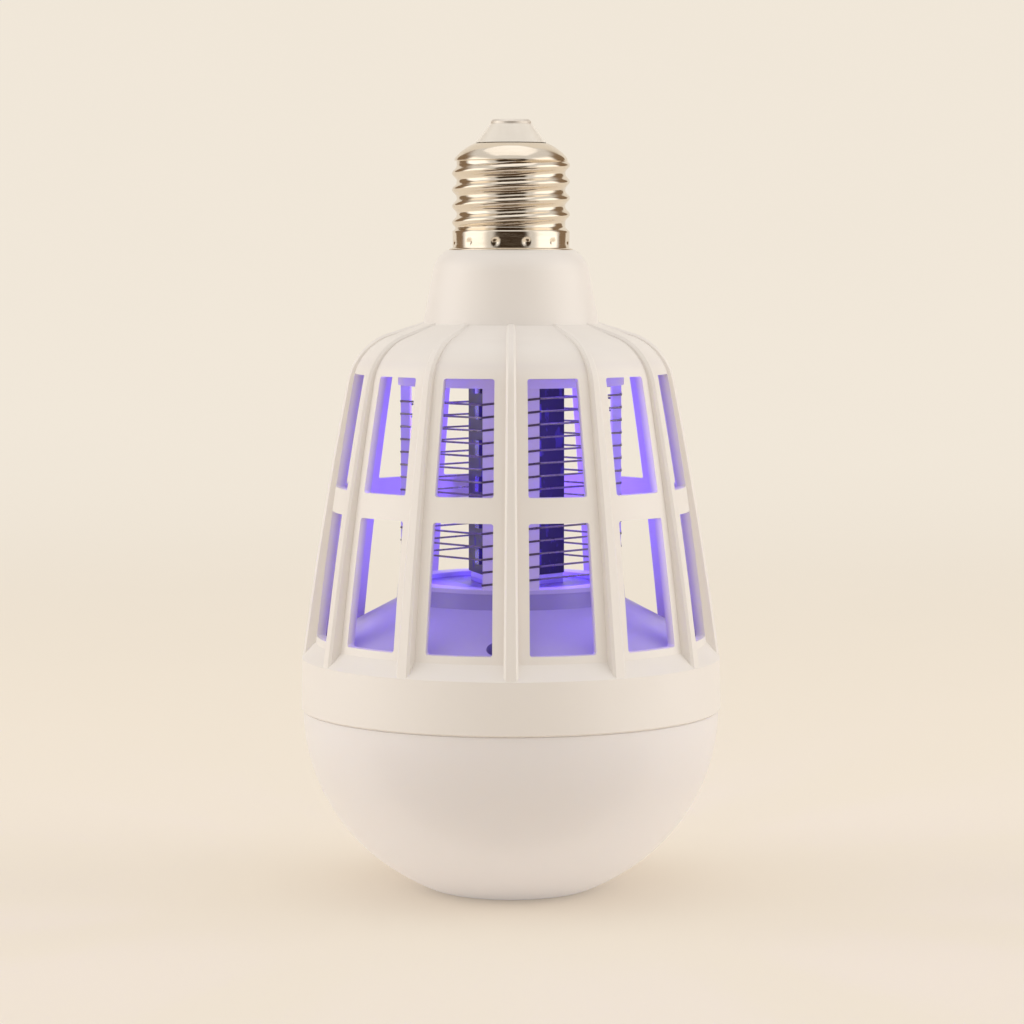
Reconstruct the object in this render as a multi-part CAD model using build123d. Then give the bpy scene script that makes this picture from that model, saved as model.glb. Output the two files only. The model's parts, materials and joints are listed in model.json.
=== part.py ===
from build123d import *
import os
from math import asin, cos, degrees, hypot, radians, sin

os.makedirs("parts", exist_ok=True)

# The lamp stands on the flat foot of its diffuser with the screw cap up. Sizes are in millimetres.
# z = 0 is the foot, the z axis is the lamp's axis, azimuth 0 faces -Y and grows towards +X.
# A piece that sits off the axis is shaped on the front side and then turned to its azimuth.

slide_fit = 0.15  # gap between pieces that push into each other
screw_fit = 0.1  # gap round a screw's shank
touch_gap = 0.02  # between a wire or lead and the face that it lies on
solder_gap = 0.05  # between a grid wire's end and the lead soldered to it

# Diffuser: a deep dome of milky plastic with a spigot that pushes into the housing's band
seam_z = 40.5
dome_step = 0.5  # how far the dome stands in from the band
dome_depth = 44.0  # from the seam to the point where the dome would close
dome_wall = 1.6
foot_rounding = 4.0
spigot_height = 8.9
spigot_wall = 1.6
seam_chamfer = 0.3

# Housing: one moulding of band, ribbed and windowed cage, shoulder, neck and the stub for the cap
wall = 2.0
band_radius = 47.0
band_draft = 0.2
band_height = 12.0
band_edge = 0.4
sill_rise = 2.9
sill_depth = 3.1
ledge_drop = 1.5  # from the band's top edge down to the inner ledge
shoulder_z = 114.0
shoulder_radius = 36.45  # over the ribs
side_bulge = 0.5
crown_z = 124.6
crown_radius = 26.5
neck_foot_z = 126.8
neck_foot_radius = 19.6
neck_round_z = 138.4
neck_round_radius = 17.3
neck_top_z = 142.8
neck_top_radius = 14.2
neck_wall = 2.2
rib_count = 12
rib_foot_width = 3.2
rib_top_width = 2.0
rib_edge = 0.5
rib_height_shoulder = 1.3
rib_height_crown = 0.6
rib_height_neck = 0.3

# Windows: two rows, one column between each pair of ribs
window_margin_foot = 4.0  # from a rib's middle to the window's side, at the foot of the panels
window_margin_top = 3.5
sill_margin = 1.65
lintel_margin = 1.5
bar_z = 85.0
bar_height = 5.4
window_corner = 0.6

# Screw cap: E27, rolled from sheet; the rolled zone is a plain sleeve of the thread's root diameter
cap_pitch = 3.629
cap_crest_radius = 13.125
cap_thread_depth = 1.05
cap_turns = 4
cap_sheet = 0.3
cap_skirt_radius = 13.05
cap_skirt_height = 4.9
cap_rim_radius = 13.8
cap_shoulder_height = 4.3
cap_shoulder_corner = 4.0
cap_hole_radius = 7.2
dimple_count = 12
dimple_height = 2.1
dimple_radius = 1.3
dimple_depth = 0.5
punch_taper = 45
stub_height = 13.2
stub_wall = 1.8
insulator_height = 4.1
insulator_foot_radius = 7.9
insulator_top_radius = 4.8
insulator_flange = 1.2
contact_radius = 4.5
contact_height = 1.0
contact_chamfer = 0.45
stem_radius = 1.4
stem_length = 7.7

# Platform: the raised cone under the grid
platform_wall = 1.8
flange_thickness = 1.6
cone_foot_z = 56.6
cone_top_z = 65.0
plateau_z = 68.2
collar_draft = 0.3
cable_hole_radius = 5.0
pocket_count = 3
pocket_azimuth = -4.5
pocket_radius = 2.2
pocket_wall = 0.8
pocket_floor_z = 54.5
brace_gap = 9.6  # from the pockets' circle in to the brace's middle
brace_width = 1.6

# Grid former: four flat posts between a foot ring and a top plate
post_count = 4
post_width = 12.3
post_thickness = 2.0
post_reach = 24.4  # from the axis to a post's outer face
ceiling_z = 113.0  # underside of the top plate
top_plate = 2.0
foot_ring_height = 1.2
foot_ring_width = 4.6
pad_count = 3
pad_azimuth = 60
pad_circle = 12.0
pad_radius = 3.2
pilot_floor = 0.6  # left under a pad's screw hole

# Grid: two steel wires wound side by side on the posts
wire_radius = 0.225
wire_start_z = 70.3
wire_rise = 1.4  # over each post; between posts the wire is level
groove_depth = 0.3
groove_height = 0.6
live_posts = 30
return_posts = 27
tail_reach = 18.25

# Mast with its three lamp boards
board_count = 3
mast_radius = 13.0
mast_azimuth = -13.8
mast_edge = 0.8
mast_wall = 1.6
board_seat = 0.6
uv_board_width = 19.6
uv_board_thickness = 1.2
uv_board_foot = 2.4
uv_board_head = 0.3
uv_led_count = 5
uv_lead_drop = 2.0  # length of lead soldered down a board
uv_led_size = (3.0, 0.8, 3.5)

# Light board under the platform
light_board_z = 48.0  # its upper face
light_board_thickness = 1.6
light_board_gap = 2.25  # to the dome's spigot
white_led_rings = ((24.0, 8), (9.0, 16))  # distance in from the board's edge, and count
white_led_size = (3.5, 2.8, 0.8)

# Driver's room in the shoulder
tray_gap = 1.2  # height of the pads that carry the former on the tray
tray_thickness = 2.0
tray_inset = 2.7
boss_count = 3
boss_circle = 26.5
boss_radius = 2.8
boss_azimuth = 30
pilot_depth = 3.8
standoff_count = 3
standoff_height = 2.4
standoff_circle = 17.0
standoff_radius = 1.8
peg_radius = 0.8
peg_height = 0.8
driver_board_radius = 20.5
driver_board_thickness = 1.4

# Screws, all of one thread
screw_radius = 1.25
screw_head_radius = 2.0
screw_head_height = 1.4
screw_slot = 0.6
screw_end_gap = 0.4  # from a screw's end to the bottom of its hole

# Insulated leads
lead_radius = 0.6

# Heights and radii that follow from the sizes above
dome_radius = band_radius - dome_step
band_top_z = seam_z + band_height
band_top_radius = band_radius - band_draft
bore_radius = band_radius - wall
ledge_z = band_top_z - ledge_drop
panel_foot_z = band_top_z + sill_rise
panel_foot_radius = band_top_radius - sill_depth
flange_z = ledge_z - flange_thickness
skirt_top_z = neck_top_z + cap_skirt_height
thread_top_z = skirt_top_z + cap_turns * cap_pitch
cap_top_z = thread_top_z + cap_shoulder_height
insulator_top_z = cap_top_z + insulator_height
thread_root_radius = cap_crest_radius - cap_thread_depth
cap_bore_radius = thread_root_radius - cap_sheet
cap_seat_radius = cap_bore_radius - cap_shoulder_corner + cap_sheet
stub_radius = cap_bore_radius - slide_fit
stub_bore = stub_radius - stub_wall
stub_top_z = neck_top_z + stub_height
pocket_boss_radius = pocket_radius + pocket_wall
platform_skirt_radius = panel_foot_radius - wall - 2 * slide_fit
pocket_circle = platform_skirt_radius - pocket_boss_radius
brace_circle = pocket_circle - brace_gap
light_board_radius = bore_radius - slide_fit - spigot_wall - light_board_gap
former_radius = hypot(post_width / 2, post_reach)
collar_radius = former_radius + slide_fit
former_top_z = ceiling_z + top_plate
tray_z = former_top_z + tray_gap
tray_top_z = tray_z + tray_thickness
tray_radius = shoulder_radius - rib_height_shoulder - wall - tray_inset
driver_board_z = tray_top_z + standoff_height
driver_top_z = driver_board_z + driver_board_thickness
wire_reach = post_reach - groove_depth + wire_radius + touch_gap
mast_inradius = mast_radius / 2
board_reach = mast_inradius - board_seat + uv_board_thickness
light_board_foot_z = light_board_z - light_board_thickness
stem_foot_z = insulator_top_z - stem_length


def point(radius, z):
    return (radius, 0, z)


def lathe(*lines):
    # Turns an outline round the lamp's axis; where it is open, a straight line closes it
    edges = [edge for line in lines for edge in line.edges()]
    start = lines[0] @ 0
    end = lines[-1] @ 1
    if (start - end).length > 0.001:
        edges.append(Line(end, start))
    return revolve(make_face(edges), Axis.Z)


def disc(radius, z, height, hole=0):
    body = Pos(0, 0, z + height / 2) * Cylinder(radius, height)
    if hole:
        body -= Pos(0, 0, z + height / 2) * Cylinder(hole, height)
    return body


def place(shape, azimuth, reach=0, z=0):
    # Moves a shape out to the front by reach, then turns it to its azimuth
    return Rot(0, 0, azimuth) * Pos(0, -reach, z) * shape


def around(shape, count, first=0):
    return [place(shape, first + 360 * index / count) for index in range(count)]


def rod(radius, foot_z, top_z, reach=0, azimuth=0, side=0):
    height = top_z - foot_z
    return place(Pos(side, 0, 0) * Cylinder(radius, height), azimuth, reach, foot_z + height / 2)


def group(solids):
    return Compound([solid for part in solids for solid in part.solids()])


def save(name, shape):
    export_step(shape, f"parts/{name}.step")


def side_lines(foot_radius, foot_z, inset, crown_inset, neck_inset):
    # Outline of the cage's side, from its foot over the shoulder to the foot of the neck
    top_radius = shoulder_radius - inset
    middle = ((foot_radius + top_radius) / 2 + side_bulge, (foot_z + shoulder_z) / 2)
    side = ThreePointArc(point(foot_radius, foot_z), point(*middle), point(top_radius, shoulder_z))
    crown = point(crown_radius - crown_inset / 2, crown_z - crown_inset)
    shoulder = TangentArc(side @ 1, crown, tangent=side % 1)
    rise = Line(shoulder @ 1, point(neck_foot_radius, neck_foot_z - neck_inset))
    return side, shoulder, rise


def panel_radius(z):
    # Radius of the panels' outer face between their foot and the shoulder
    share = (z - panel_foot_z) / (shoulder_z - panel_foot_z)
    top_radius = shoulder_radius - rib_height_shoulder
    straight = panel_foot_radius + share * (top_radius - panel_foot_radius)
    return straight + 4 * side_bulge * share * (1 - share)


def housing_shell():
    heights = (rib_height_shoulder, rib_height_crown, rib_height_neck)
    outer = side_lines(panel_foot_radius, panel_foot_z, *heights)
    inner = side_lines(panel_foot_radius - wall, panel_foot_z, *[height + wall for height in heights])
    band = Polyline(
        point(bore_radius, seam_z),
        point(band_radius - seam_chamfer, seam_z),
        point(band_radius, seam_z + seam_chamfer),
        point(band_top_radius, band_top_z - band_edge),
        point(band_top_radius - band_edge, band_top_z),
        outer[0] @ 0,
    )
    neck = Line(outer[2] @ 1, point(neck_round_radius, neck_round_z))
    neck_round = TangentArc(neck @ 1, point(neck_top_radius, neck_top_z), tangent=neck % 1)
    cap_seat = cap_skirt_radius - cap_sheet - slide_fit
    stub = Polyline(
        neck_round @ 1,
        point(cap_seat, neck_top_z),
        point(cap_seat, skirt_top_z - 2 * cap_sheet - cap_thread_depth),
        point(stub_radius, skirt_top_z - cap_sheet),
        point(stub_radius, stub_top_z),
        point(stub_bore, stub_top_z),
        point(stub_bore, neck_top_z - neck_wall),
        point(neck_round_radius - neck_wall - 1, neck_top_z - neck_wall),
        point(neck_round_radius - neck_wall, neck_round_z),
        point(neck_foot_radius - neck_wall, neck_foot_z - rib_height_neck - wall),
    )
    ceiling = Line(stub @ 1, inner[1] @ 1)
    ledge = Polyline(inner[0] @ 0, point(panel_foot_radius - wall, ledge_z), point(bore_radius, ledge_z))
    return lathe(band, *outer, neck, neck_round, stub, ceiling, inner[1], inner[0], ledge)


def rib():
    # One rib: a tapered plate cut to the outline of the cage, with bevelled outer edges
    foot_z = band_top_z - ledge_drop
    outline = side_lines(band_top_radius - rib_edge / 4, band_top_z - band_edge, 0, 0, 0)
    heights = (rib_height_shoulder, rib_height_crown, rib_height_neck)
    root_radius = panel_foot_radius - wall / 2
    root = side_lines(root_radius, panel_foot_z, *[height + wall / 2 for height in heights])
    foot = Line(point(band_top_radius - rib_edge / 4, foot_z), outline[0] @ 0)
    top = Line(outline[2] @ 1, root[2] @ 1)
    heel = Line(root[0] @ 0, point(root_radius, foot_z))
    ring = lathe(foot, *outline, top, root[2], root[1], root[0], heel)
    plate_sides = Polyline(
        (-rib_foot_width / 2, 0, foot_z - 1),
        (rib_foot_width / 2, 0, foot_z - 1),
        (rib_top_width / 2, 0, neck_foot_z + 1),
        (-rib_top_width / 2, 0, neck_foot_z + 1),
        close=True,
    )
    plate = extrude(make_face(plate_sides), band_radius + 1, dir=(0, -1, 0))
    body = plate & ring
    crest = [face for face in body.faces() if face.normal_at(face.center()).dot(Vector(0, -1, 1)) > 0.5]
    edges = [edge for face in crest for edge in face.edges() if abs((edge @ 0.5).X) > rib_top_width / 4]
    return chamfer(edges, rib_edge)


def window(foot_z, top_z):
    # Cutter of one window: its sides run beside the ribs and narrow with the cage
    def half_width(z):
        share = (z - panel_foot_z) / (shoulder_z - panel_foot_z)
        margin = window_margin_foot + share * (window_margin_top - window_margin_foot)
        radius = panel_radius(z)
        return radius * sin(radians(180 / rib_count) - asin(margin / radius))

    foot = half_width(foot_z)
    top = half_width(top_z)
    outline = Polyline((-foot, 0, foot_z), (foot, 0, foot_z), (top, 0, top_z), (-top, 0, top_z), close=True)
    prism = extrude(make_face(outline), band_radius, dir=(0, -1, 0))
    return fillet(prism.edges().filter_by(Axis.Y), window_corner)


def cage_housing():
    shell = housing_shell()
    outside = lathe(
        Line(point(0, ceiling_z), point(tray_radius, ceiling_z)),
        Line(point(tray_radius, ceiling_z), point(crown_radius, crown_z - wall / 2)),
        Line(point(crown_radius, crown_z - wall / 2), point(neck_foot_radius, neck_foot_z - wall / 2)),
        Line(point(neck_foot_radius, neck_foot_z - wall / 2), point(0, neck_foot_z - wall / 2)),
    )
    boss = rod(boss_radius, tray_top_z, neck_foot_z, boss_circle) & outside
    pilot = rod(screw_radius + screw_fit / 2, tray_top_z - 1, tray_top_z + pilot_depth, boss_circle)
    dent = punch(cap_sheet + screw_fit / 2)
    lower = window(panel_foot_z + sill_margin, bar_z)
    upper = window(bar_z + bar_height, shoulder_z + lintel_margin)
    half_step = 180 / rib_count
    body = shell + around(rib(), rib_count) + around(boss, boss_count, boss_azimuth)
    cutters = around(lower, rib_count, half_step) + around(upper, rib_count, half_step)
    cutters += around(pilot, boss_count, boss_azimuth) + around(dent, dimple_count, 180 / dimple_count)
    return body - cutters


def punch(growth):
    # Eight-sided punch that stakes the cap to the stub, pointing inwards; growth widens it all round
    start = (0, -cap_skirt_radius - cap_sheet, neck_top_z + dimple_height)
    face = Plane(origin=start, x_dir=(1, 0, 0), z_dir=(0, 1, 0)) * RegularPolygon(
        dimple_radius + cap_sheet + growth, 8
    )
    return extrude(face, dimple_depth + cap_sheet + growth, taper=punch_taper)


def cap_shell():
    middle = (cap_crest_radius + thread_root_radius) / 2
    corner_z = cap_top_z - cap_shoulder_corner
    side = Polyline(
        point(0, neck_top_z),
        point(cap_rim_radius, neck_top_z),
        point(cap_rim_radius, neck_top_z + cap_sheet),
        point(cap_skirt_radius, neck_top_z + 3 * cap_sheet),
        point(cap_skirt_radius, skirt_top_z - cap_sheet),
        point(thread_root_radius, skirt_top_z + cap_thread_depth),
        point(thread_root_radius, thread_top_z - cap_thread_depth),
        point(middle, corner_z),
    )
    shoulder = TangentArc(side @ 1, point(middle - cap_shoulder_corner, cap_top_z), tangent=(0, 0, 1))
    blank = lathe(side, shoulder, Line(shoulder @ 1, point(0, cap_top_z)))
    skirt_bore = cap_skirt_radius - cap_sheet
    bore_side = Polyline(
        point(0, neck_top_z),
        point(skirt_bore, neck_top_z),
        point(skirt_bore, skirt_top_z - 2 * cap_sheet - cap_thread_depth / 2),
        point(cap_bore_radius, skirt_top_z),
        point(cap_bore_radius, corner_z),
    )
    bore_top_z = cap_top_z - cap_sheet
    bore_shoulder = TangentArc(bore_side @ 1, point(cap_seat_radius, bore_top_z), tangent=(0, 0, 1))
    bore = lathe(bore_side, bore_shoulder, Line(bore_shoulder @ 1, point(0, bore_top_z)))
    dents = around(punch(0), dimple_count, 180 / dimple_count)
    pressed = around(punch(cap_sheet), dimple_count, 180 / dimple_count)
    sleeve = disc(skirt_bore + cap_sheet / 2, neck_top_z + cap_sheet, cap_skirt_height - 2, stub_radius)
    bumps = [mark & sleeve for mark in pressed]
    body = blank - bore - disc(cap_hole_radius, cap_top_z - 1, 2)
    return body + bumps - dents


def cap_insulator():
    # Waisted where the cap's sheet is rolled into it, with the cone on top
    waist_radius = cap_hole_radius - slide_fit
    flange_radius = cap_seat_radius - slide_fit / 3
    seat_z = cap_top_z - cap_sheet
    outline = Polyline(
        point(stem_radius + slide_fit, seat_z - insulator_flange),
        point(flange_radius, seat_z - insulator_flange),
        point(flange_radius, seat_z),
        point(waist_radius, seat_z),
        point(waist_radius, cap_top_z),
        point(insulator_foot_radius, cap_top_z),
        point(insulator_top_radius, insulator_top_z),
        point(stem_radius + slide_fit, insulator_top_z),
    )
    return lathe(outline)


def centre_contact():
    button = disc(contact_radius, insulator_top_z, contact_height)
    rim = button.edges().sort_by(Axis.Z)[-1]
    button = chamfer(rim, contact_chamfer)
    return button + disc(stem_radius, stem_foot_z, insulator_top_z - stem_foot_z)


def diffuser_dome():
    def bowl(radius, depth, floor_z):
        # Two tangent arcs that follow an ellipse, cut off level at the floor
        def on_ellipse(angle):
            return point(radius * cos(angle), seam_z - depth * sin(angle))

        foot_angle = asin((seam_z - floor_z) / depth)
        side = TangentArc(on_ellipse(0), on_ellipse(0.75 * foot_angle), tangent=(0, 0, -1))
        belly = TangentArc(side @ 1, on_ellipse(foot_angle), tangent=side % 1)
        return lathe(Line(point(0, seam_z), side @ 0), side, belly, Line(belly @ 1, point(0, floor_z)))

    outer = bowl(dome_radius, dome_depth, 0)
    outer = fillet(outer.edges().sort_by(Axis.Z)[0], foot_rounding)
    rim = outer.edges().sort_by(Axis.Z)[-1]
    outer = chamfer(rim, seam_chamfer)
    inner = bowl(dome_radius - dome_wall, dome_depth - dome_wall, dome_wall)
    spigot_radius = bore_radius - slide_fit
    spigot_bore = spigot_radius - spigot_wall
    spigot = lathe(
        Polyline(
            point(spigot_bore, seam_z - 2 * dome_wall),
            point(dome_radius - dome_wall / 2, seam_z - dome_wall),
            point(dome_radius - dome_wall / 2, seam_z),
            point(spigot_radius, seam_z),
            point(spigot_radius, seam_z + spigot_height),
            point(spigot_bore, seam_z + spigot_height),
        )
    )
    return outer - inner + spigot


def platform():
    rim_radius = bore_radius - slide_fit
    inner_skirt = platform_skirt_radius - platform_wall
    slope_inset = platform_wall / 2
    body = lathe(
        Polyline(
            point(cable_hole_radius, plateau_z),
            point(collar_radius, plateau_z),
            point(collar_radius + collar_draft, cone_top_z),
            point(platform_skirt_radius, cone_foot_z),
            point(platform_skirt_radius, ledge_z),
            point(rim_radius, ledge_z),
            point(rim_radius, flange_z),
            point(inner_skirt, flange_z),
            point(inner_skirt, cone_foot_z - slope_inset),
            point(collar_radius - slope_inset, cone_top_z - platform_wall),
            point(collar_radius - platform_wall, plateau_z - platform_wall),
            point(cable_hole_radius, plateau_z - platform_wall),
        )
    )
    under_cone = lathe(
        Polyline(
            point(0, light_board_z),
            point(platform_skirt_radius, light_board_z),
            point(platform_skirt_radius, cone_foot_z),
            point(collar_radius, cone_top_z),
            point(0, cone_top_z),
        )
    )
    brace = disc(brace_circle + brace_width / 2, light_board_z, plateau_z - light_board_z)
    brace -= disc(brace_circle - brace_width / 2, light_board_z, plateau_z - light_board_z)
    boss = rod(pocket_boss_radius, light_board_z, plateau_z, pocket_circle)
    pocket = rod(pocket_radius, pocket_floor_z, plateau_z, pocket_circle)
    hole = rod(screw_radius + screw_fit, light_board_z - 1, plateau_z, pocket_circle)
    body += [brace & under_cone, *[part & under_cone for part in around(boss, pocket_count, pocket_azimuth)]]
    return body - around(pocket, pocket_count, pocket_azimuth) - around(hole, pocket_count, pocket_azimuth)


def grid_former():
    post_height = ceiling_z - plateau_z
    post = Pos(0, post_thickness / 2, post_height / 2) * Box(post_width, post_thickness, post_height)
    plate = disc(former_radius, ceiling_z, top_plate, mast_inradius / 2)
    foot = disc(former_radius, plateau_z, foot_ring_height, former_radius - foot_ring_width)
    pad = rod(pad_radius, former_top_z, tray_z, pad_circle)
    pilot = rod(screw_radius + screw_fit / 2, ceiling_z + pilot_floor, tray_z, pad_circle)
    body = plate + [foot, *around(place(post, 0, post_reach, plateau_z), post_count)]
    body += around(pad, pad_count, pad_azimuth)
    body -= around(pilot, pad_count, pad_azimuth)
    body -= [lead_hole(index) for index in (live_posts, return_posts)]
    uv_reach = board_reach + lead_radius
    body -= [rod(lead_radius + screw_fit, ceiling_z, tray_z, uv_reach, turn) for turn in board_turns()]
    return body - wire_grooves()


def wire_grooves():
    # Slanted grooves in the posts, one for each crossing of either wire
    length = hypot(post_width, wire_rise) + 1
    groove = Box(length, 2 * groove_depth, groove_height)
    slanted = Rot(0, -degrees(asin(wire_rise / length)), 0) * groove
    grooves = []
    for start_z, crossings in ((wire_start_z, live_posts), (wire_start_z + 2 * wire_rise, return_posts)):
        for index in range(crossings):
            middle_z = start_z + (index + 0.5) * wire_rise
            grooves.append(place(slanted, 360 / post_count * index, post_reach, middle_z))
    return grooves


def wire_points(start_z, crossings):
    # Corners of one winding: it climbs over each post and runs level to the next one
    points = []
    half = post_width / 2 + wire_radius
    for index in range(crossings):
        turn = radians(360 / post_count * index)
        for side, z in ((-half, start_z + index * wire_rise), (half, start_z + (index + 1) * wire_rise)):
            x = side * cos(turn) + wire_reach * sin(turn)
            y = side * sin(turn) - wire_reach * cos(turn)
            points.append((x, y, z))
    end = radians(360 / post_count * (crossings - 1))
    tail_x = half * cos(end) + tail_reach * sin(end)
    tail_y = half * sin(end) - tail_reach * cos(end)
    points.append((tail_x, tail_y, points[-1][2]))
    return points


def grid_wire(start_z, crossings):
    path = Polyline(*wire_points(start_z, crossings))
    section = Plane(origin=path @ 0, z_dir=path % 0) * RegularPolygon(wire_radius, 8)
    return sweep(section, path, transition=Transition.RIGHT)


def wire_end_z(crossings, start_z):
    return start_z + crossings * wire_rise


def lead_place(crossings):
    # Azimuth, reach and side offset of the lead that meets a winding's upper end
    reach = tail_reach - lead_radius - solder_gap
    return 360 / post_count * (crossings - 1), reach, post_width / 2 + wire_radius


def lead_hole(crossings):
    azimuth, reach, side = lead_place(crossings)
    return rod(lead_radius + screw_fit, ceiling_z, tray_top_z, reach, azimuth, side)


def board_turns():
    step = 360 / board_count
    return [mast_azimuth + step * (index + 0.5) for index in range(board_count)]


def triangle(radius):
    # A three-sided outline on the floor plane, one corner at the mast's azimuth
    turns = [radians(mast_azimuth + 360 / board_count * index) for index in range(board_count)]
    corners = [(radius * sin(turn), -radius * cos(turn), 0) for turn in turns]
    return make_face(Polyline(*corners, close=True))


def lamp_mast():
    height = ceiling_z - plateau_z
    outer = extrude(triangle(mast_radius), height)
    outer = fillet(outer.edges().filter_by(Axis.Z), mast_edge)
    inner = extrude(triangle(2 * (mast_inradius - board_seat - mast_wall)), height)
    body = Pos(0, 0, plateau_z) * (outer - inner)
    seat_width = uv_board_width + slide_fit
    seat_height = height - uv_board_foot
    seat = Pos(0, 0, seat_height / 2) * Box(seat_width, 2 * board_seat, seat_height)
    foot_z = plateau_z + uv_board_foot
    return body - [place(seat, turn, mast_inradius, foot_z) for turn in board_turns()]


def uv_board(turn):
    foot_z = plateau_z + uv_board_foot
    height = ceiling_z - uv_board_head - foot_z
    board = Pos(0, 0, height / 2) * Box(uv_board_width, uv_board_thickness, height)
    return place(board, turn, board_reach - uv_board_thickness / 2, foot_z)


def uv_leds(turn):
    width, depth, height = uv_led_size
    foot_z = plateau_z + uv_board_foot
    pitch = (ceiling_z - uv_lead_drop - foot_z) / uv_led_count
    lamps = []
    for index in range(uv_led_count):
        z = foot_z + (index + 0.5) * pitch
        lamps.append(place(Box(width, depth, height), turn, board_reach + depth / 2, z))
    return group(lamps)


def light_board():
    board = disc(light_board_radius, light_board_foot_z, light_board_thickness)
    hole = rod(screw_radius + screw_fit / 2, light_board_foot_z, light_board_z, pocket_circle)
    return board - around(hole, pocket_count, pocket_azimuth)


def white_leds():
    width, depth, height = white_led_size
    middle_z = light_board_foot_z - height / 2
    lamps = []
    for inset, count in white_led_rings:
        lamp = place(Box(width, depth, height), 0, light_board_radius - inset, middle_z)
        lamps += around(lamp, count, 180 / count)
    return group(lamps)


def screw(head_seat_z, tip_z, circle, azimuth, count):
    # Pan-head screws with a cross slot; the head lies on its seat, above or below the shank
    upward = 1 if tip_z < head_seat_z else -1
    head_z = min(head_seat_z, head_seat_z + upward * screw_head_height)
    head = rod(screw_head_radius, head_z, head_z + screw_head_height, circle)
    crown = head.edges().sort_by(Axis.Z)[-1 if upward > 0 else 0]
    head = chamfer(crown, screw_head_height / 3)
    slot_z = head_seat_z + upward * screw_head_height
    bar = Box(screw_head_radius * 1.3, screw_slot, screw_head_height)
    slot = place(bar + Rot(0, 0, 90) * bar, 0, circle, slot_z)
    shank = rod(screw_radius, min(tip_z, head_seat_z), max(tip_z, head_seat_z), circle)
    return group(around(head - slot + shank, count, azimuth))


def platform_screws():
    tip_z = light_board_foot_z - screw_radius
    return screw(pocket_floor_z, tip_z, pocket_circle, pocket_azimuth, pocket_count)


def former_screws():
    tip_z = ceiling_z + pilot_floor + screw_end_gap
    return screw(tray_top_z, tip_z, pad_circle, pad_azimuth, pad_count)


def tray_screws():
    tip_z = tray_top_z + pilot_depth - screw_end_gap
    return screw(tray_z + tray_thickness / 2, tip_z, boss_circle, boss_azimuth, boss_count)


def driver_tray():
    body = disc(tray_radius, tray_z, tray_thickness, mast_inradius / 2)
    standoff = rod(standoff_radius, tray_top_z, driver_board_z, standoff_circle)
    peg = rod(peg_radius, driver_board_z, driver_top_z + peg_height, standoff_circle)
    former_hole = rod(screw_radius + screw_fit, tray_z, tray_top_z, pad_circle)
    boss_hole = rod(screw_radius + screw_fit, tray_z, tray_top_z, boss_circle)
    head_room = rod(screw_head_radius + slide_fit, tray_z, tray_z + tray_thickness / 2, boss_circle)
    body += around(standoff + peg, standoff_count)
    body -= around(former_hole, pad_count, pad_azimuth)
    body -= around(boss_hole + head_room, boss_count, boss_azimuth)
    body -= [lead_hole(index) for index in (live_posts, return_posts)]
    uv_reach = board_reach + lead_radius
    return body - [rod(lead_radius + screw_fit, tray_z, tray_top_z, uv_reach, turn) for turn in board_turns()]


def driver_board():
    board = disc(driver_board_radius, driver_board_z, driver_board_thickness)
    hole = rod(peg_radius + screw_fit / 2, driver_board_z, driver_top_z, standoff_circle)
    return board - around(hole, standoff_count)


def on_board(shape, x, y):
    # Stands a shape whose foot is at z = 0 on the driver board
    return Pos(x, y, driver_top_z) * shape


def bulk_capacitor():
    radius, height, edge = 4.0, 12.0, 0.5
    can = Pos(0, 0, height / 2) * Cylinder(radius, height)
    can = chamfer(can.edges().filter_by(GeomType.CIRCLE), edge)
    groove_z, groove_width, groove_inset = 1.8, 0.6, 0.35
    neck_groove = Cylinder(radius + 1, groove_width) - Cylinder(radius - groove_inset, groove_width)
    return on_board(can - Pos(0, 0, groove_z) * neck_groove, -6.5, 5.5)


def transformer():
    width, depth, height, flange = 9.0, 8.0, 8.5, 1.0
    core = Pos(0, 0, height / 2) * Box(width, depth * 0.55, height)
    coil = Pos(0, 0, height / 2) * Box(width * 0.55, depth, height - 3 * flange)
    lower = Pos(0, 0, flange / 2) * Box(width * 0.8, depth, flange)
    upper = Pos(0, 0, height - flange) * Box(width * 0.8, depth, flange)
    return on_board(core + [coil, lower, upper], 6.5, -5.0)


def film_capacitors():
    width, depth, height = 4.5, 9.0, 8.0
    block = fillet(Box(width, depth, height).edges().filter_by(Axis.Z), 0.6)
    block = Pos(0, 0, height / 2) * block
    return group([on_board(block, 7.5, 5.0), on_board(block, 1.5, 8.0)])


def bridge_rectifier():
    width, depth, height = 6.4, 4.8, 2.6
    block = Pos(0, 0, height / 2) * Box(width, depth, height)
    return on_board(chamfer(block.faces().sort_by(Axis.Z)[-1].edges(), 0.4), -7.0, -3.0)


def driver_chip():
    width, depth, height, pin, pitch = 3.9, 4.9, 1.6, 0.4, 1.27
    body = Pos(0, 0, height / 2) * Box(width, depth, height)
    pins = []
    for side in (-1, 1):
        for index in range(4):
            y = (index - 1.5) * pitch
            pins.append(Pos(side * (width / 2 + pin), y, height / 4) * Box(2 * pin, pin, height / 2))
    return on_board(body + pins, -4.5, -10.0)


def fuse_resistor():
    radius, height, edge = 1.5, 8.0, 0.5
    body = Pos(0, 0, height / 2) * Cylinder(radius, height)
    return on_board(chamfer(body.edges().filter_by(GeomType.CIRCLE), edge), -1.0, -4.2)


def contact_lead():
    return rod(lead_radius, driver_top_z, stem_foot_z)


def shell_lead():
    # Up inside the stub, over its edge and out to the cap's bore
    reach = stub_bore - lead_radius - slide_fit
    over_z = stub_top_z + lead_radius + slide_fit
    end_reach = cap_bore_radius - touch_gap
    points = [(0, -reach, driver_top_z), (0, -reach, over_z), (0, -end_reach, over_z)]
    return sweep(Pos(*points[0]) * Circle(lead_radius), Polyline(*points), transition=Transition.RIGHT)


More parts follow.
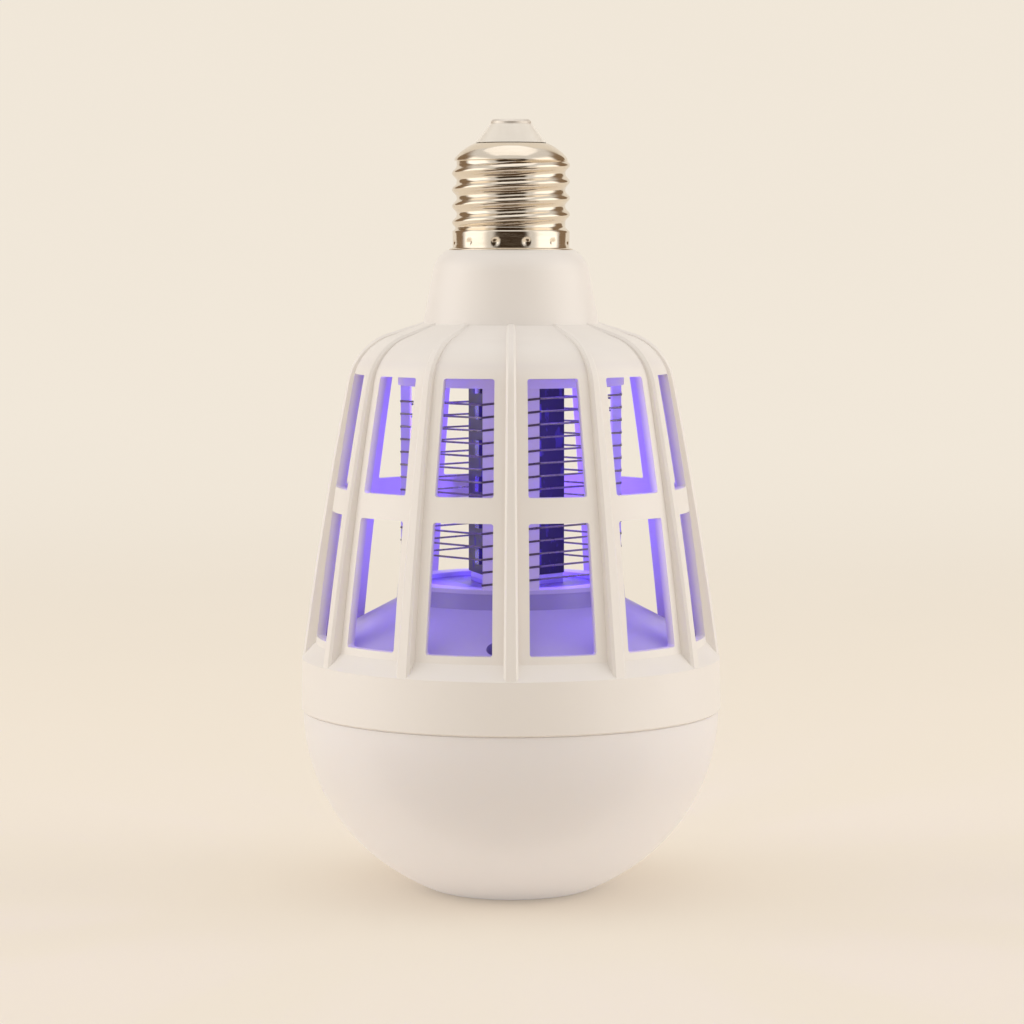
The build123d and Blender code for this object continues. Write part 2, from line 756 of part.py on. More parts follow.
def grid_leads():
    leads = []
    for start_z, crossings in ((wire_start_z, live_posts), (wire_start_z + 2 * wire_rise, return_posts)):
        azimuth, reach, side = lead_place(crossings)
        foot_z = wire_end_z(crossings, start_z) - lead_radius
        leads.append(rod(lead_radius, foot_z, driver_board_z, reach, azimuth, side))
    return group(leads)


def uv_leads():
    foot_z = ceiling_z - uv_lead_drop
    reach = board_reach + lead_radius
    return group([rod(lead_radius, foot_z, driver_board_z, reach, turn) for turn in board_turns()])


def white_leads():
    offset = lead_radius + slide_fit
    return group([rod(lead_radius, light_board_z, driver_board_z, side=side) for side in (-offset, offset)])


save("cage_housing", cage_housing())
save("diffuser_dome", diffuser_dome())
save("cap_shell", cap_shell())
save("cap_insulator", cap_insulator())
save("centre_contact", centre_contact())
save("platform", platform())
save("platform_screws", platform_screws())
save("grid_former", grid_former())
save("grid_wire_live", grid_wire(wire_start_z, live_posts))
save("grid_wire_return", grid_wire(wire_start_z + 2 * wire_rise, return_posts))
save("lamp_mast", lamp_mast())
for number, turn in enumerate(board_turns(), start=1):
    save(f"uv_board_{number}", uv_board(turn))
    save(f"uv_leds_{number}", uv_leds(turn))
save("light_board", light_board())
save("white_leds", white_leds())
save("driver_tray", driver_tray())
save("tray_screws", tray_screws())
save("former_screws", former_screws())
save("driver_board", driver_board())
save("bulk_capacitor", bulk_capacitor())
save("transformer", transformer())
save("film_capacitors", film_capacitors())
save("bridge_rectifier", bridge_rectifier())
save("driver_chip", driver_chip())
save("fuse_resistor", fuse_resistor())
save("contact_lead", contact_lead())
save("shell_lead", shell_lead())
save("grid_leads", grid_leads())
save("uv_leads", uv_leads())
save("white_leads", white_leads())
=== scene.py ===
import bpy
import json
from math import atan2, cos, hypot, pi, radians, sin
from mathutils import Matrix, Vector


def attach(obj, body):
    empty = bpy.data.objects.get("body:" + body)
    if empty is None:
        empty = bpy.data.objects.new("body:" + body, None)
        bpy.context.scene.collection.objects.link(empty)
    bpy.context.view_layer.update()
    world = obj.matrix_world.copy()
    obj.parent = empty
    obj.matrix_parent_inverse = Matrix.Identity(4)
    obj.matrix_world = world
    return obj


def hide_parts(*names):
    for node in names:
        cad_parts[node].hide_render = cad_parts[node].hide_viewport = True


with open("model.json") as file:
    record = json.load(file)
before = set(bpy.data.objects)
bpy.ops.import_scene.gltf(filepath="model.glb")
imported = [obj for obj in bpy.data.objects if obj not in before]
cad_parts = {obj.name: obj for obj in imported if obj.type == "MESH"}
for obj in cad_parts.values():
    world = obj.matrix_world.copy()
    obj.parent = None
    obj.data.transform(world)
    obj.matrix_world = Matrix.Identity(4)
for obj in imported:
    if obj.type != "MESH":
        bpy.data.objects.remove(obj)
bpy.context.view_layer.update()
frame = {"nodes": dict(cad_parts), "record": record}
nodes = frame["nodes"]


# Shader maths

class Signal:
    # One socket's value; sums and products of signals add their own Math nodes
    def __init__(self, finish, socket):
        self.finish = finish
        self.socket = socket

    def maths(self, operation, first, second):
        return self.finish.node("ShaderNodeMath", {"operation": operation}, {0: first, 1: second})

    def __add__(self, other):
        return self.maths("ADD", self, other)

    def __radd__(self, other):
        return self.maths("ADD", other, self)

    def __sub__(self, other):
        return self.maths("SUBTRACT", self, other)

    def __rsub__(self, other):
        return self.maths("SUBTRACT", other, self)

    def __mul__(self, other):
        return self.maths("MULTIPLY", self, other)

    def __rmul__(self, other):
        return self.maths("MULTIPLY", other, self)

    def __truediv__(self, other):
        return self.maths("DIVIDE", self, other)

    def __pow__(self, power):
        return self.maths("POWER", self, power)


class Wiring:
    # Adds nodes to one node tree
    def __init__(self, tree):
        self.tree = tree

    def node(self, kind, settings, inputs, output=0):
        made = self.tree.nodes.new(kind)
        for setting, value in settings.items():
            setattr(made, setting, value)
        for socket, value in inputs.items():
            self.feed(made.inputs[socket], value)
        return Signal(self, made.outputs[output])

    def feed(self, socket, value):
        if isinstance(value, Signal):
            self.tree.links.new(value.socket, socket)
        else:
            socket.default_value = value

    def split(self, vector):
        parts = self.node("ShaderNodeSeparateXYZ", {}, {0: vector})
        return [Signal(self, parts.socket.node.outputs[axis]) for axis in "XYZ"]

    def ramp(self, value, low, high, first=0.0, last=1.0):
        settings = {"interpolation_type": "SMOOTHSTEP"}
        stops = {"Value": value, "From Min": low, "From Max": high, "To Min": first, "To Max": last}
        return self.node("ShaderNodeMapRange", settings, stops)

    def mix(self, mask, first, last):
        return self.node("ShaderNodeMix", {"data_type": "RGBA"}, {0: mask, 6: first, 7: last}, 2)


class Finish(Wiring):
    # A material under construction, round one Principled shader
    def __init__(self, name, **fixed):
        self.material = bpy.data.materials.new(name)
        self.material.use_nodes = True
        super().__init__(self.material.node_tree)
        self.shader = self.tree.nodes["Principled BSDF"]
        for socket, value in fixed.items():
            self.shader.inputs[socket.replace("_", " ")].default_value = value

    def drive(self, socket, value):
        self.feed(self.shader.inputs[socket], value)

    def coordinates(self):
        return self.node("ShaderNodeTexCoord", {}, {}, "Object")

    def noise(self, scale, detail=2.0, roughness=0.5, stretch=(1, 1, 1)):
        place = self.node("ShaderNodeMapping", {}, {"Vector": self.coordinates(), "Scale": stretch})
        return self.node("ShaderNodeTexNoise", {}, {"Vector": place, "Scale": scale, "Detail": detail,
                                                    "Roughness": roughness})

    def bump(self, height, strength, distance):
        self.drive("Normal", self.node("ShaderNodeBump", {}, {"Height": height, "Strength": strength,
                                                              "Distance": distance}))


def shade(red, green, blue):
    # A colour given as 0-255 screen values, made linear
    def linear(level):
        level /= 255
        return level / 12.92 if level <= 0.04045 else ((level + 0.055) / 1.055) ** 2.4
    return (linear(red), linear(green), linear(blue), 1.0)


# violet of the painted lamp light on the lamp board
paintedVioletLight = (0.30, 0.16, 1.0, 1.0)
unlit = (0, 0, 0, 1)
fineGrain = 0.0001  # depth of the bumps, in metres
noiseSpan = (0.3, 0.7)  # where most of a noise pattern's values lie


# Finishes

cagePlastic = {
    "base": shade(238, 233, 228),
    "patch": shade(234, 228, 222),
    # painted violet light: lilac tint of the inner faces of the window walls
    "inside": shade(180, 168, 206),
    "roughness": (0.34, 0.44),
    "cloud": (38, 3),  # scale and detail of the noise, as for the wear and the grain
    "wear": (160, 4),
    "grain": (2600, 2),
    "relief": 0.05,
    # strength of the painted violet glow on those inner faces
    "glow": 0.12,
    "paintedLightTone": (0.44, 0.29, 0.86, 1.0),
    "panelFoot": (0.0437, 0.0554),  # radius and height of the panels' foot, in metres
    "panelTop": (0.03515, 0.114),
    "bulge": 0.0005,
    "wall": 0.002,
    "paintedLightStart": 0.0003,  # depth at which the painted violet light starts
    "paintedLightFoot": (0.0544, 0.0594),  # heights between which the painted violet light comes in, and goes out again
    "paintedLightHead": (0.1195, 0.115),
}


def makeCagePlastic(look):
    finish = Finish("cageWhite", Specular_IOR_Level=0.5, IOR=1.5)
    x, y, z = finish.split(finish.coordinates())
    radius = (x * x + y * y) ** 0.5
    footRadius, footZ = look["panelFoot"]
    topRadius, topZ = look["panelTop"]
    share = (z - footZ) / (topZ - footZ)
    outside = footRadius + share * (topRadius - footRadius) + 4 * look["bulge"] * share * (1 - share)
    depth = finish.ramp(outside - radius, look["paintedLightStart"], look["wall"])
    # Painted violet light: deep in the window walls and between two heights, the colour turns lilac and a
    # faint violet glow is added
    paintedLightBand = finish.ramp(z, *look["paintedLightFoot"]) * finish.ramp(z, *look["paintedLightHead"])
    cloud = finish.noise(*look["cloud"])
    glow = depth * paintedLightBand
    outer = finish.mix(cloud, look["base"], look["patch"])
    finish.drive("Base Color", finish.mix(glow, outer, look["inside"]))
    finish.drive("Roughness", finish.ramp(finish.noise(*look["wear"]), *noiseSpan, *look["roughness"]))
    finish.drive("Emission Color", finish.mix(glow, unlit, look["paintedLightTone"]))
    finish.shader.inputs["Emission Strength"].default_value = look["glow"]
    finish.bump(finish.noise(*look["grain"]), look["relief"], fineGrain)
    return finish.material


milkyPlastic = {
    "base": shade(236, 231, 230),
    # painted shade: the dome's colour goes darker towards the bottom
    "deep": shade(234, 229, 228),
    "domeTop": 0.044,
    "ripple": (60, 2),
    "rippleRise": 0.003,
    "roughness": (0.3, 0.34),
    "wear": (240, 3),
    "wearSpan": (0.2, 0.8),
    "grain": (1800, 2),
    "relief": 0.03,
    # strength of the painted light bounced up from the floor, at the dome's foot
    "glow": 0.14,
    "paintedLightTone": (0.92, 0.93, 0.98, 1.0),
    "paintedBounceTop": 0.03,
}


def makeMilkyPlastic(look):
    finish = Finish("diffuserMilk", Subsurface_Weight=0.2, Subsurface_Radius=(0.003, 0.0024, 0.002),
                    Subsurface_Scale=1.0, Coat_Weight=0.15, Coat_Roughness=0.2)
    x, y, z = finish.split(finish.coordinates())
    # Painted shade: darker towards the bottom, with a wavy edge
    ripple = look["rippleRise"] * finish.noise(*look["ripple"])
    height = finish.ramp(z + ripple, 0.0, look["domeTop"])
    finish.drive("Base Color", finish.mix(height, look["deep"], look["base"]))
    finish.drive("Roughness", finish.ramp(finish.noise(*look["wear"]), *look["wearSpan"], *look["roughness"]))
    # Painted light from the floor below: a faint glow that grows towards the foot
    low = finish.ramp(z, look["paintedBounceTop"], 0.0)
    finish.drive("Emission Color", finish.mix(low, unlit, look["paintedLightTone"]))
    finish.shader.inputs["Emission Strength"].default_value = look["glow"]
    finish.bump(finish.noise(*look["grain"]), look["relief"], fineGrain)
    return finish.material


innerPlastic = {
    # lilac tones: painted violet light on the white plastic
    "base": shade(180, 170, 216),
    "patch": shade(170, 160, 210),
    "shadow": (0.06, 0.04, 0.26, 1.0),
    "cloud": (45, 3),
    "roughness": (0.32, 0.42),
    "wear": (200, 3),
    "grain": (2200, 2),
    "relief": 0.05,
    "collar": (0.0650, 0.0684),  # heights of the platform's collar, where a band of painted shade goes
    "collarShade": 0.45,
    # painted shade: dark discs in the three screw pockets
    "pockets": {"count": 3, "circle": 0.0384, "turn": -4.5, "radius": 0.00225, "shade": 0.8},
    "postFoot": 0.0692,
    "blend": 0.0001,
    # strength of the painted violet light from the lamps
    "glow": 0.16,
    "conePaintedLight": (0.094, 0.052, 0.29, 1.0),
    "postPaintedLight": (0.70, 0.52, 1.0, 1.0),
}


def makeInnerPlastic(look):
    finish = Finish("innerWhite")
    x, y, z = finish.split(finish.coordinates())
    foot, top = look["collar"]
    edge = look["blend"]
    # Painted shade: a darker band round the collar and dark discs in the screw pockets
    collar = finish.ramp(z, foot - edge, foot + edge) * finish.ramp(z, top + edge, top - edge)
    paintedShade = look["collarShade"] * collar
    pockets = look["pockets"]
    for index in range(pockets["count"]):
        turn = radians(pockets["turn"] + 360 * index / pockets["count"])
        across, deep = pockets["circle"] * sin(turn), -pockets["circle"] * cos(turn)
        reach = ((x - across) * (x - across) + (y - deep) * (y - deep)) ** 0.5
        inside = finish.ramp(reach, pockets["radius"] + edge, pockets["radius"] - edge)
        paintedShade = paintedShade + pockets["shade"] * inside
    cloud = finish.noise(*look["cloud"])
    plain = finish.mix(cloud, look["base"], look["patch"])
    finish.drive("Base Color", finish.mix(paintedShade, plain, look["shadow"]))
    finish.drive("Roughness", finish.ramp(finish.noise(*look["wear"]), *noiseSpan, *look["roughness"]))
    # Painted violet light: a faint glow, brighter on the posts than on the cone
    posts = finish.ramp(z, look["postFoot"], look["postFoot"] + edge)
    finish.drive("Emission Color", finish.mix(posts, look["conePaintedLight"], look["postPaintedLight"]))
    finish.shader.inputs["Emission Strength"].default_value = look["glow"]
    finish.bump(finish.noise(*look["grain"]), look["relief"], fineGrain)
    return finish.material


# Its noises are drawn out round the cap: scale, detail, roughness and stretch along each axis
nickelPlate = {
    "base": shade(238, 230, 217),
    "worn": shade(224, 211, 193),
    "rub": (90, 5, 0.6, (1, 1, 6)),
    "rubSpan": (0.3, 0.75),
    "roughness": (0.08, 0.2),
    "grain": (700, 3, 0.5, (1, 1, 5)),
    "relief": 0.04,
}


def makeNickelPlate(look):
    finish = Finish("nickelPlate", Metallic=1.0)
    rub = finish.noise(*look["rub"])
    finish.drive("Base Color", finish.mix(rub, look["base"], look["worn"]))
    finish.drive("Roughness", finish.ramp(rub, *look["rubSpan"], *look["roughness"]))
    finish.bump(finish.noise(*look["grain"]), look["relief"], fineGrain)
    return finish.material


# Small finishes: two tones in a noise pattern, a roughness range and a fine relief
smallFinishes = {
    "insulator_white": {"tones": (shade(236, 230, 220), shade(230, 223, 212)),
                        "grain": 300, "roughness": (0.12, 0.2)},
    "contact_metal": {"tones": (shade(240, 234, 226), shade(226, 218, 208)),
                      "grain": 420, "roughness": (0.42, 0.55), "metal": 0.7, "relief": 0.15},
    "grid_steel": {"tones": (shade(150, 142, 148), shade(112, 104, 114)),
                   "grain": 900, "roughness": (0.25, 0.45), "metal": 1.0, "relief": 0.1},
    "screw_steel": {"tones": (shade(190, 188, 190), shade(160, 158, 164)),
                    "grain": 900, "roughness": (0.2, 0.4), "metal": 1.0, "relief": 0.1},
    "board_aluminium": {"tones": (shade(206, 206, 206), shade(190, 190, 192)),
                        "grain": 500, "roughness": (0.3, 0.45), "metal": 1.0, "relief": 0.1},
    "white_lamp": {"tones": (shade(246, 232, 150), shade(240, 220, 120)),
                   "grain": 900, "roughness": (0.3, 0.4)},
    "driver_laminate": {"tones": (shade(48, 120, 66), shade(40, 104, 58)),
                        "grain": 260, "roughness": (0.3, 0.45)},
    "capacitor_sleeve": {"tones": (shade(34, 34, 38), shade(44, 44, 50)),
                         "grain": 200, "roughness": (0.25, 0.35)},
    "film_block": {"tones": (shade(150, 52, 34), shade(138, 44, 30)),
                   "grain": 240, "roughness": (0.25, 0.35)},
    "ferrite": {"tones": (shade(62, 62, 66), shade(50, 50, 54)),
                "grain": 800, "roughness": (0.6, 0.75)},
    "chip_black": {"tones": (shade(32, 32, 33), shade(42, 42, 43)),
                   "grain": 900, "roughness": (0.45, 0.6)},
    "resistor_body": {"tones": (shade(112, 160, 176), shade(100, 150, 168)),
                      "grain": 300, "roughness": (0.3, 0.4)},
    "lead_sleeve": {"tones": (shade(214, 212, 216), shade(200, 198, 204)),
                    "grain": 200, "roughness": (0.35, 0.45)},
}


def makeSmallFinish(name, look):
    finish = Finish(name, Metallic=look.get("metal", 0.0))
    pattern = finish.noise(look["grain"], 3)
    finish.drive("Base Color", finish.mix(pattern, *look["tones"]))
    finish.drive("Roughness", finish.ramp(pattern, *noiseSpan, *look["roughness"]))
    finish.bump(finish.noise(3 * look["grain"], 2), look.get("relief", 0.05), fineGrain)
    return finish.material


lampBoardLook = {
    "mask": shade(27, 24, 44),
    "pad": shade(60, 50, 110),
    "pads": (420, 3, 0.6, (1, 1, 0.6)),
    "padEdge": (0.58, 0.66),
    "roughness": (0.4, 0.6),
    "relief": 0.2,
    # strength of the painted violet light on the board, brighter on the pads
    "glow": 0.01,
    "padPaintedLight": (0.5, 0.35, 1.0, 1.0),
}


def makeLampBoard(look):
    finish = Finish("lampBoard")
    pads = finish.ramp(finish.noise(*look["pads"]), *look["padEdge"])
    finish.drive("Base Color", finish.mix(pads, look["mask"], look["pad"]))
    finish.drive("Roughness", finish.ramp(pads, 0.0, 1.0, *look["roughness"]))
    # Painted violet light from the lamps: a faint glow over the board, brighter on its pads
    finish.drive("Emission Color", finish.mix(pads, paintedVioletLight, look["padPaintedLight"]))
    finish.shader.inputs["Emission Strength"].default_value = look["glow"]
    finish.bump(pads, look["relief"], 0.5 * fineGrain)
    return finish.material


uvLampLook = {"lens": shade(70, 60, 128), "patch": shade(84, 74, 144), "spread": (500, 2), "glow": 0.02,
              "core": (0.30, 0.20, 0.95, 1.0), "rim": (0.5, 0.3, 1.0, 1.0)}


def makeUvLamp(look):
    finish = Finish("uvLamp", Roughness=0.2)
    spread = finish.noise(*look["spread"])
    finish.drive("Base Color", finish.mix(spread, look["lens"], look["patch"]))
    finish.drive("Emission Color", finish.mix(spread, look["core"], look["rim"]))
    finish.shader.inputs["Emission Strength"].default_value = look["glow"]
    return finish.material


finishes = {name: makeSmallFinish(name, look) for name, look in smallFinishes.items()}
finishes["housing_white"] = makeCagePlastic(cagePlastic)
finishes["diffuser_milk"] = makeMilkyPlastic(milkyPlastic)
finishes["inner_white"] = makeInnerPlastic(innerPlastic)
finishes["nickel_plate"] = makeNickelPlate(nickelPlate)
finishes["lamp_board"] = makeLampBoard(lampBoardLook)
finishes["uv_lamp"] = makeUvLamp(uvLampLook)

for part in frame["record"]["subparts"]:
    mesh = nodes[part["node"]].data
    mesh.materials.clear()
    mesh.materials.append(finishes[part["material_slot"]])
print("finishes on", len(nodes), "nodes")


# Screw cap: rolled from sheet, with a round thread and dimples where it is staked to the neck

screwCap = {
    "segments": 192,
    "sheet": 0.0003,
    "foot": [(0.01375, 0.1428), (0.0138, 0.14292), (0.01374, 0.14304), (0.0130, 0.1433)],
    "waist": (0.01296, 0.1436),
    "skirt": (0.01305, 0.1469),
    "skirtRows": 9,
    "thread": {"startZ": 0.14705, "pitch": 0.003629, "turns": 4.25, "root": 0.012075, "crest": 0.013125,
               "topZ": 0.1624, "rows": 62, "fade": 0.2, "sharpness": 1.25, "runIn": 0.25},
    "shoulder": [(0.01262, 0.1626), (0.01245, 0.1631), (0.0120, 0.1637), (0.01135, 0.16435),
                 (0.0106, 0.16495), (0.0098, 0.16552), (0.0090, 0.16597), (0.0083, 0.16628),
                 (0.0077, 0.16645), (0.0072, 0.1665)],
    "dimple": {"count": 12, "z": 0.14455, "radius": 0.0009, "depth": 0.00035},
    "smoothAngle": 50,
}


def addTurned(name, rings, segments):
    # A circle at the first ring, then each next ring extruded from it; rings are (radius, z)
    bpy.ops.object.select_all(action="DESELECT")
    radius, z = rings[0]
    bpy.ops.mesh.primitive_circle_add(vertices=segments, radius=radius, location=(0, 0, z))
    piece = bpy.context.object
    piece.name = name
    bpy.ops.object.transform_apply(location=True, rotation=True, scale=True)
    bpy.ops.object.mode_set(mode="EDIT")
    bpy.ops.mesh.select_all(action="SELECT")
    for (radius, z), (nextRadius, nextZ) in zip(rings, rings[1:]):
        bpy.ops.mesh.extrude_edges_move(TRANSFORM_OT_translate={"value": (0, 0, nextZ - z)})
        growth = nextRadius / radius
        bpy.ops.transform.resize(value=(growth, growth, 1), center_override=(0, 0, 0))
    bpy.ops.mesh.select_all(action="SELECT")
    bpy.ops.mesh.normals_make_consistent(inside=False)
    bpy.ops.object.mode_set(mode="OBJECT")
    return piece


def threadHeight(look, turn, z):
    # 0 at the thread's root and 1 on its crest; turn is counted from the +X side
    along = (z - look["startZ"]) / look["pitch"]
    crest = round(along - turn)
    started = (crest + turn) / look["fade"]
    left = (look["turns"] - crest - turn) / look["fade"]
    fade = min(1, max(0, started)) * min(1, max(0, left))
    wave = 0.5 + 0.5 * cos(2 * pi * (along - turn - crest))
    return fade * wave ** look["sharpness"]


def makeScrewCap(look):
    thread = look["thread"]
    waist, skirt = look["waist"], look["skirt"]
    rings = list(look["foot"])
    for row in range(look["skirtRows"] + 1):
        share = row / look["skirtRows"]
        rings.append(tuple(low + share * (high - low) for low, high in zip(waist, skirt)))
    step = (thread["topZ"] - skirt[1]) / thread["rows"]
    rings += [(thread["root"], skirt[1] + (row + 1) * step) for row in range(thread["rows"])]
    rings += look["shoulder"]
    cap = addTurned("screwCap", rings, look["segments"])
    dimple = look["dimple"]
    for vertex in cap.data.vertices:
        x, y, z = vertex.co
        radius = hypot(x, y)
        turn = atan2(y, x) / (2 * pi) % 1
        pushed = radius
        if skirt[1] < z < thread["topZ"] + step / 2:
            edge = min(1, (z - skirt[1]) / (thread["runIn"] * thread["pitch"]))
            root = skirt[0] + edge * (thread["root"] - skirt[0])
            pushed = root + (thread["crest"] - root) * threadHeight(thread, turn, z)
        elif z < skirt[1]:
            offset = (turn * dimple["count"]) % 1 - 0.5
            across = offset * 2 * pi * radius / dimple["count"]
            reach = min(1, hypot(across, z - dimple["z"]) / dimple["radius"])
            pushed = radius - dimple["depth"] * (0.5 + 0.5 * cos(pi * reach))
        vertex.co.x *= pushed / radius
        vertex.co.y *= pushed / radius
    wall = cap.modifiers.new("sheet", "SOLIDIFY")
    wall.thickness = look["sheet"]
    wall.offset = -1
    bpy.ops.object.modifier_apply(modifier=wall.name)
    bpy.ops.object.shade_smooth_by_angle(angle=radians(look["smoothAngle"]))
    cap.data.materials.append(finishes["nickel_plate"])
    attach(cap, "root")
    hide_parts("cap_shell")


makeScrewCap(screwCap)
print("screw cap rolled")


# Floor, light and camera

studio = {
    "floorTone": shade(244, 235, 221),
    "floorCloud": (6, 4),
    "floorPatch": 0.985,  # how bright its patches are beside its own tone
    "floorHalf": 1.3,
    "floorFront": -1.1,
    "sweep": (0.8, 1.4, 2.6),  # where the floor starts to rise, radius of the rise, height of the backdrop
    "paperShine": (0.05, 0.85),  # share of its colour that shows unshaded, near the lamp and far behind it
    "shineFrom": (0.2, 1.2),  # where that share grows, behind the lamp
    "sweepSteps": 24,
    "cardTone": shade(96, 72, 48),  # a card lying before the lamp, seen only in gloss
    "cardSize": (0.30, 0.62),
    "cardFront": -0.04,
    "cardLift": 0.001,
    "cardCloud": 20,
    "worldTone": (1.0, 0.965, 0.925, 1.0),
    "worldLevel": 0.78,
    "darkTone": (0.06, 0.038, 0.022, 1.0),  # the unlit room, seen only in gloss
    "sideTone": (0.34, 0.23, 0.14, 1.0),  # the room beside the backdrop, seen only in gloss
    "shineTone": (2.0, 1.92, 1.8, 1.0),  # the lit screens at both sides, seen only in gloss
    # Where the gloss sees what, by the share of a direction that points at the camera: 1 to -1
    "smallest": 0.0001,
    "room": (0.78, 0.9),
    "screens": ((0.72, 0.5), (-0.3, -0.12)),
    "besideBackdrop": ((-0.26, -0.38), (-0.95, -0.9)),
    "nearLevel": (0.55, 0.3),  # squared height of a direction, above which the gloss sees the plain world
    "side": {"power": 3.4, "size": 0.8, "place": (1.0, 0.0, 0.30), "tone": (1.0, 0.985, 0.975)},
    "top": {"power": 1.5, "size": 1.0, "place": (0, 0.1, 1.3), "tone": (1.0, 0.97, 0.93)},
    "aim": (0, 0, 0.085),
}


def addSoftLight(name, place, size, power, tone, target):
    bpy.ops.object.light_add(type="AREA", location=place)
    lamp = bpy.context.object
    lamp.name = name
    lamp.data.shape = "RECTANGLE"
    lamp.data.size = size
    lamp.data.size_y = size
    lamp.data.energy = power
    lamp.data.color = tone
    lamp.rotation_euler = (Vector(target) - Vector(place)).to_track_quat("-Z", "Y").to_euler()
    return lamp


def makeFloor(look):
    half = look["floorHalf"]
    start, radius, height = look["sweep"]
    bpy.ops.object.select_all(action="DESELECT")
    depth = start - look["floorFront"]
    bpy.ops.mesh.primitive_plane_add(size=1, location=(0, start - depth / 2, 0))
    floor = bpy.context.object
    floor.name = "floor"
    floor.scale = (2 * half, depth, 1)
    bpy.ops.object.transform_apply(location=True, rotation=True, scale=True)
    bpy.ops.object.mode_set(mode="EDIT")
    bpy.ops.mesh.select_mode(type="EDGE")
    bpy.ops.mesh.select_all(action="DESELECT")
    bpy.ops.object.mode_set(mode="OBJECT")
    middle = start - depth / 2
    for edge in floor.data.edges:  # the back edge, which the spin carries up
        edge.select = all(floor.data.vertices[index].co.y > middle for index in edge.vertices)
    bpy.ops.object.mode_set(mode="EDIT")
    bpy.ops.mesh.spin(steps=look["sweepSteps"], angle=-pi / 2, center=(0, start, radius), axis=(1, 0, 0))
    bpy.ops.mesh.extrude_region_move(TRANSFORM_OT_translate={"value": (0, 0, height)})
    bpy.ops.object.mode_set(mode="OBJECT")
    bpy.ops.object.shade_smooth()
    finish = Finish("floorPaper", Roughness=0.9, Specular_IOR_Level=0.1)
    tone = look["floorTone"]
    patch = tuple(look["floorPatch"] * level for level in tone[:3]) + (1,)
    paper = finish.mix(finish.noise(*look["floorCloud"]), tone, patch)
    finish.drive("Base Color", paper)
    seen = finish.node("ShaderNodeLightPath", {}, {}, "Is Camera Ray")
    mirrored = finish.node("ShaderNodeLightPath", {}, {}, "Is Glossy Ray")
    through = finish.node("ShaderNodeLightPath", {}, {}, "Is Transmission Ray")
    plain = finish.node("ShaderNodeEmission", {}, {"Color": paper})
    lit = Signal(finish, finish.shader.outputs[0])
    x, y, z = finish.split(finish.coordinates())
    share = finish.ramp(y, *look["shineFrom"], *look["paperShine"]) * (seen + mirrored + through)
    shown = finish.node("ShaderNodeMixShader", {}, {0: share, 1: lit, 2: plain})
    finish.feed(finish.tree.nodes["Material Output"].inputs["Surface"], shown)
    floor.data.materials.append(finish.material)


def makeWorld(look):
    world = bpy.data.worlds.new("studio")
    bpy.context.scene.world = world
    world.use_nodes = True
    sky = world.node_tree.nodes["Background"]
    wiring = Wiring(world.node_tree)
    x, y, z = wiring.split(wiring.node("ShaderNodeTexCoord", {}, {}, "Generated"))
    # 1 behind the camera, -1 behind the lamp; the smallest number is there for straight up and down
    ahead = -1 * y / (x * x + y * y + look["smallest"]) ** 0.5
    mirrored = wiring.node("ShaderNodeLightPath", {}, {}, "Is Glossy Ray")
    gloss = mirrored * wiring.ramp(z * z, *look["nearLevel"])
    room = wiring.ramp(ahead, *look["room"])
    screenFront, screenBack = look["screens"]
    screens = wiring.ramp(ahead, *screenFront) * wiring.ramp(ahead, *screenBack)
    besideFront, besideBack = look["besideBackdrop"]
    beside = wiring.ramp(ahead, *besideFront) * wiring.ramp(ahead, *besideBack)
    tone = wiring.mix(gloss * screens, look["worldTone"], look["shineTone"])
    tone = wiring.mix(gloss * room, tone, look["darkTone"])
    wiring.feed(sky.inputs["Color"], wiring.mix(gloss * beside, tone, look["sideTone"]))
    sky.inputs["Strength"].default_value = look["worldLevel"]


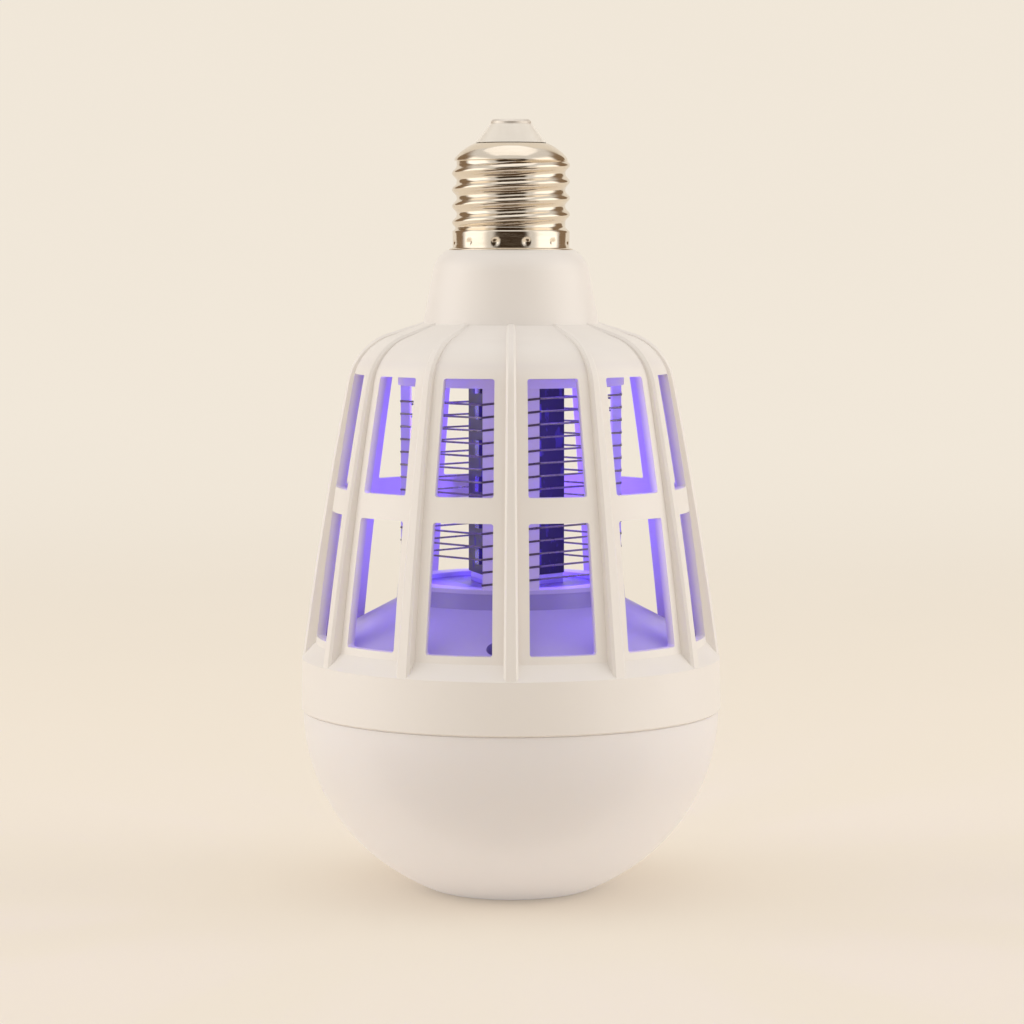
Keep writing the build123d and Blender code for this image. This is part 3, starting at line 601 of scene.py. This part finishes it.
def makeCard(look):
    width, depth = look["cardSize"]
    bpy.ops.object.select_all(action="DESELECT")
    bpy.ops.mesh.primitive_plane_add(size=1, location=(0, look["cardFront"] - depth / 2, look["cardLift"]))
    card = bpy.context.object
    card.name = "brownCard"
    card.scale = (width, depth, 1)
    bpy.ops.object.transform_apply(location=True, rotation=True, scale=True)
    finish = Finish("brownCard", Roughness=1.0)
    cloud = finish.noise(look["cardCloud"])
    finish.drive("Base Color", finish.mix(cloud, look["cardTone"], look["darkTone"]))
    card.data.materials.append(finish.material)
    card.visible_camera = False
    card.visible_diffuse = False
    card.visible_shadow = False


makeFloor(studio)
makeCard(studio)
makeWorld(studio)
side = studio["side"]
for name, mirror in (("softLeft", -1), ("softRight", 1)):
    x, y, z = side["place"]
    lamp = addSoftLight(name, (mirror * x, y, z), side["size"], side["power"], side["tone"], studio["aim"])
    lamp.visible_glossy = False
top = studio["top"]
addSoftLight("softTop", top["place"], top["size"], top["power"], top["tone"], studio["aim"])

# Light of the violet lamps, one soft lamp before each board
lampGlow = {"reach": 0.0095, "width": 0.004, "height": 0.036, "middleZ": 0.0915, "power": 0.026,
            "tone": (0.24, 0.13, 1.0), "azimuths": (46.2, 166.2, 286.2)}
for azimuth in lampGlow["azimuths"]:
    turn = radians(azimuth)
    ahead = Vector((sin(turn), -cos(turn), 0))
    place = lampGlow["reach"] * ahead + Vector((0, 0, lampGlow["middleZ"]))
    glow = addSoftLight(f"uvGlow{round(azimuth)}", place, lampGlow["width"], lampGlow["power"],
                        lampGlow["tone"], place + ahead)
    glow.data.size_y = lampGlow["height"]
    glow.visible_camera = False
    glow.visible_glossy = False

view = {"eye": (0, -0.73760, 0.14391), "aim": (0, 0, 0.08437), "lens": 116.29, "sensor": 36, "pixels": 1024,
        "shiftPixels": 1, "nearest": 0.01}
bpy.ops.object.camera_add(location=view["eye"])
camera = bpy.context.object
camera.rotation_euler = (Vector(view["aim"]) - Vector(view["eye"])).to_track_quat("-Z", "Y").to_euler()
camera.data.sensor_width = view["sensor"]
camera.data.lens = view["lens"]
camera.data.shift_x = view["shiftPixels"] / view["pixels"]
camera.data.clip_start = view["nearest"]
bpy.context.scene.camera = camera
bpy.context.scene.view_settings.view_transform = "Standard"
print("studio ready")
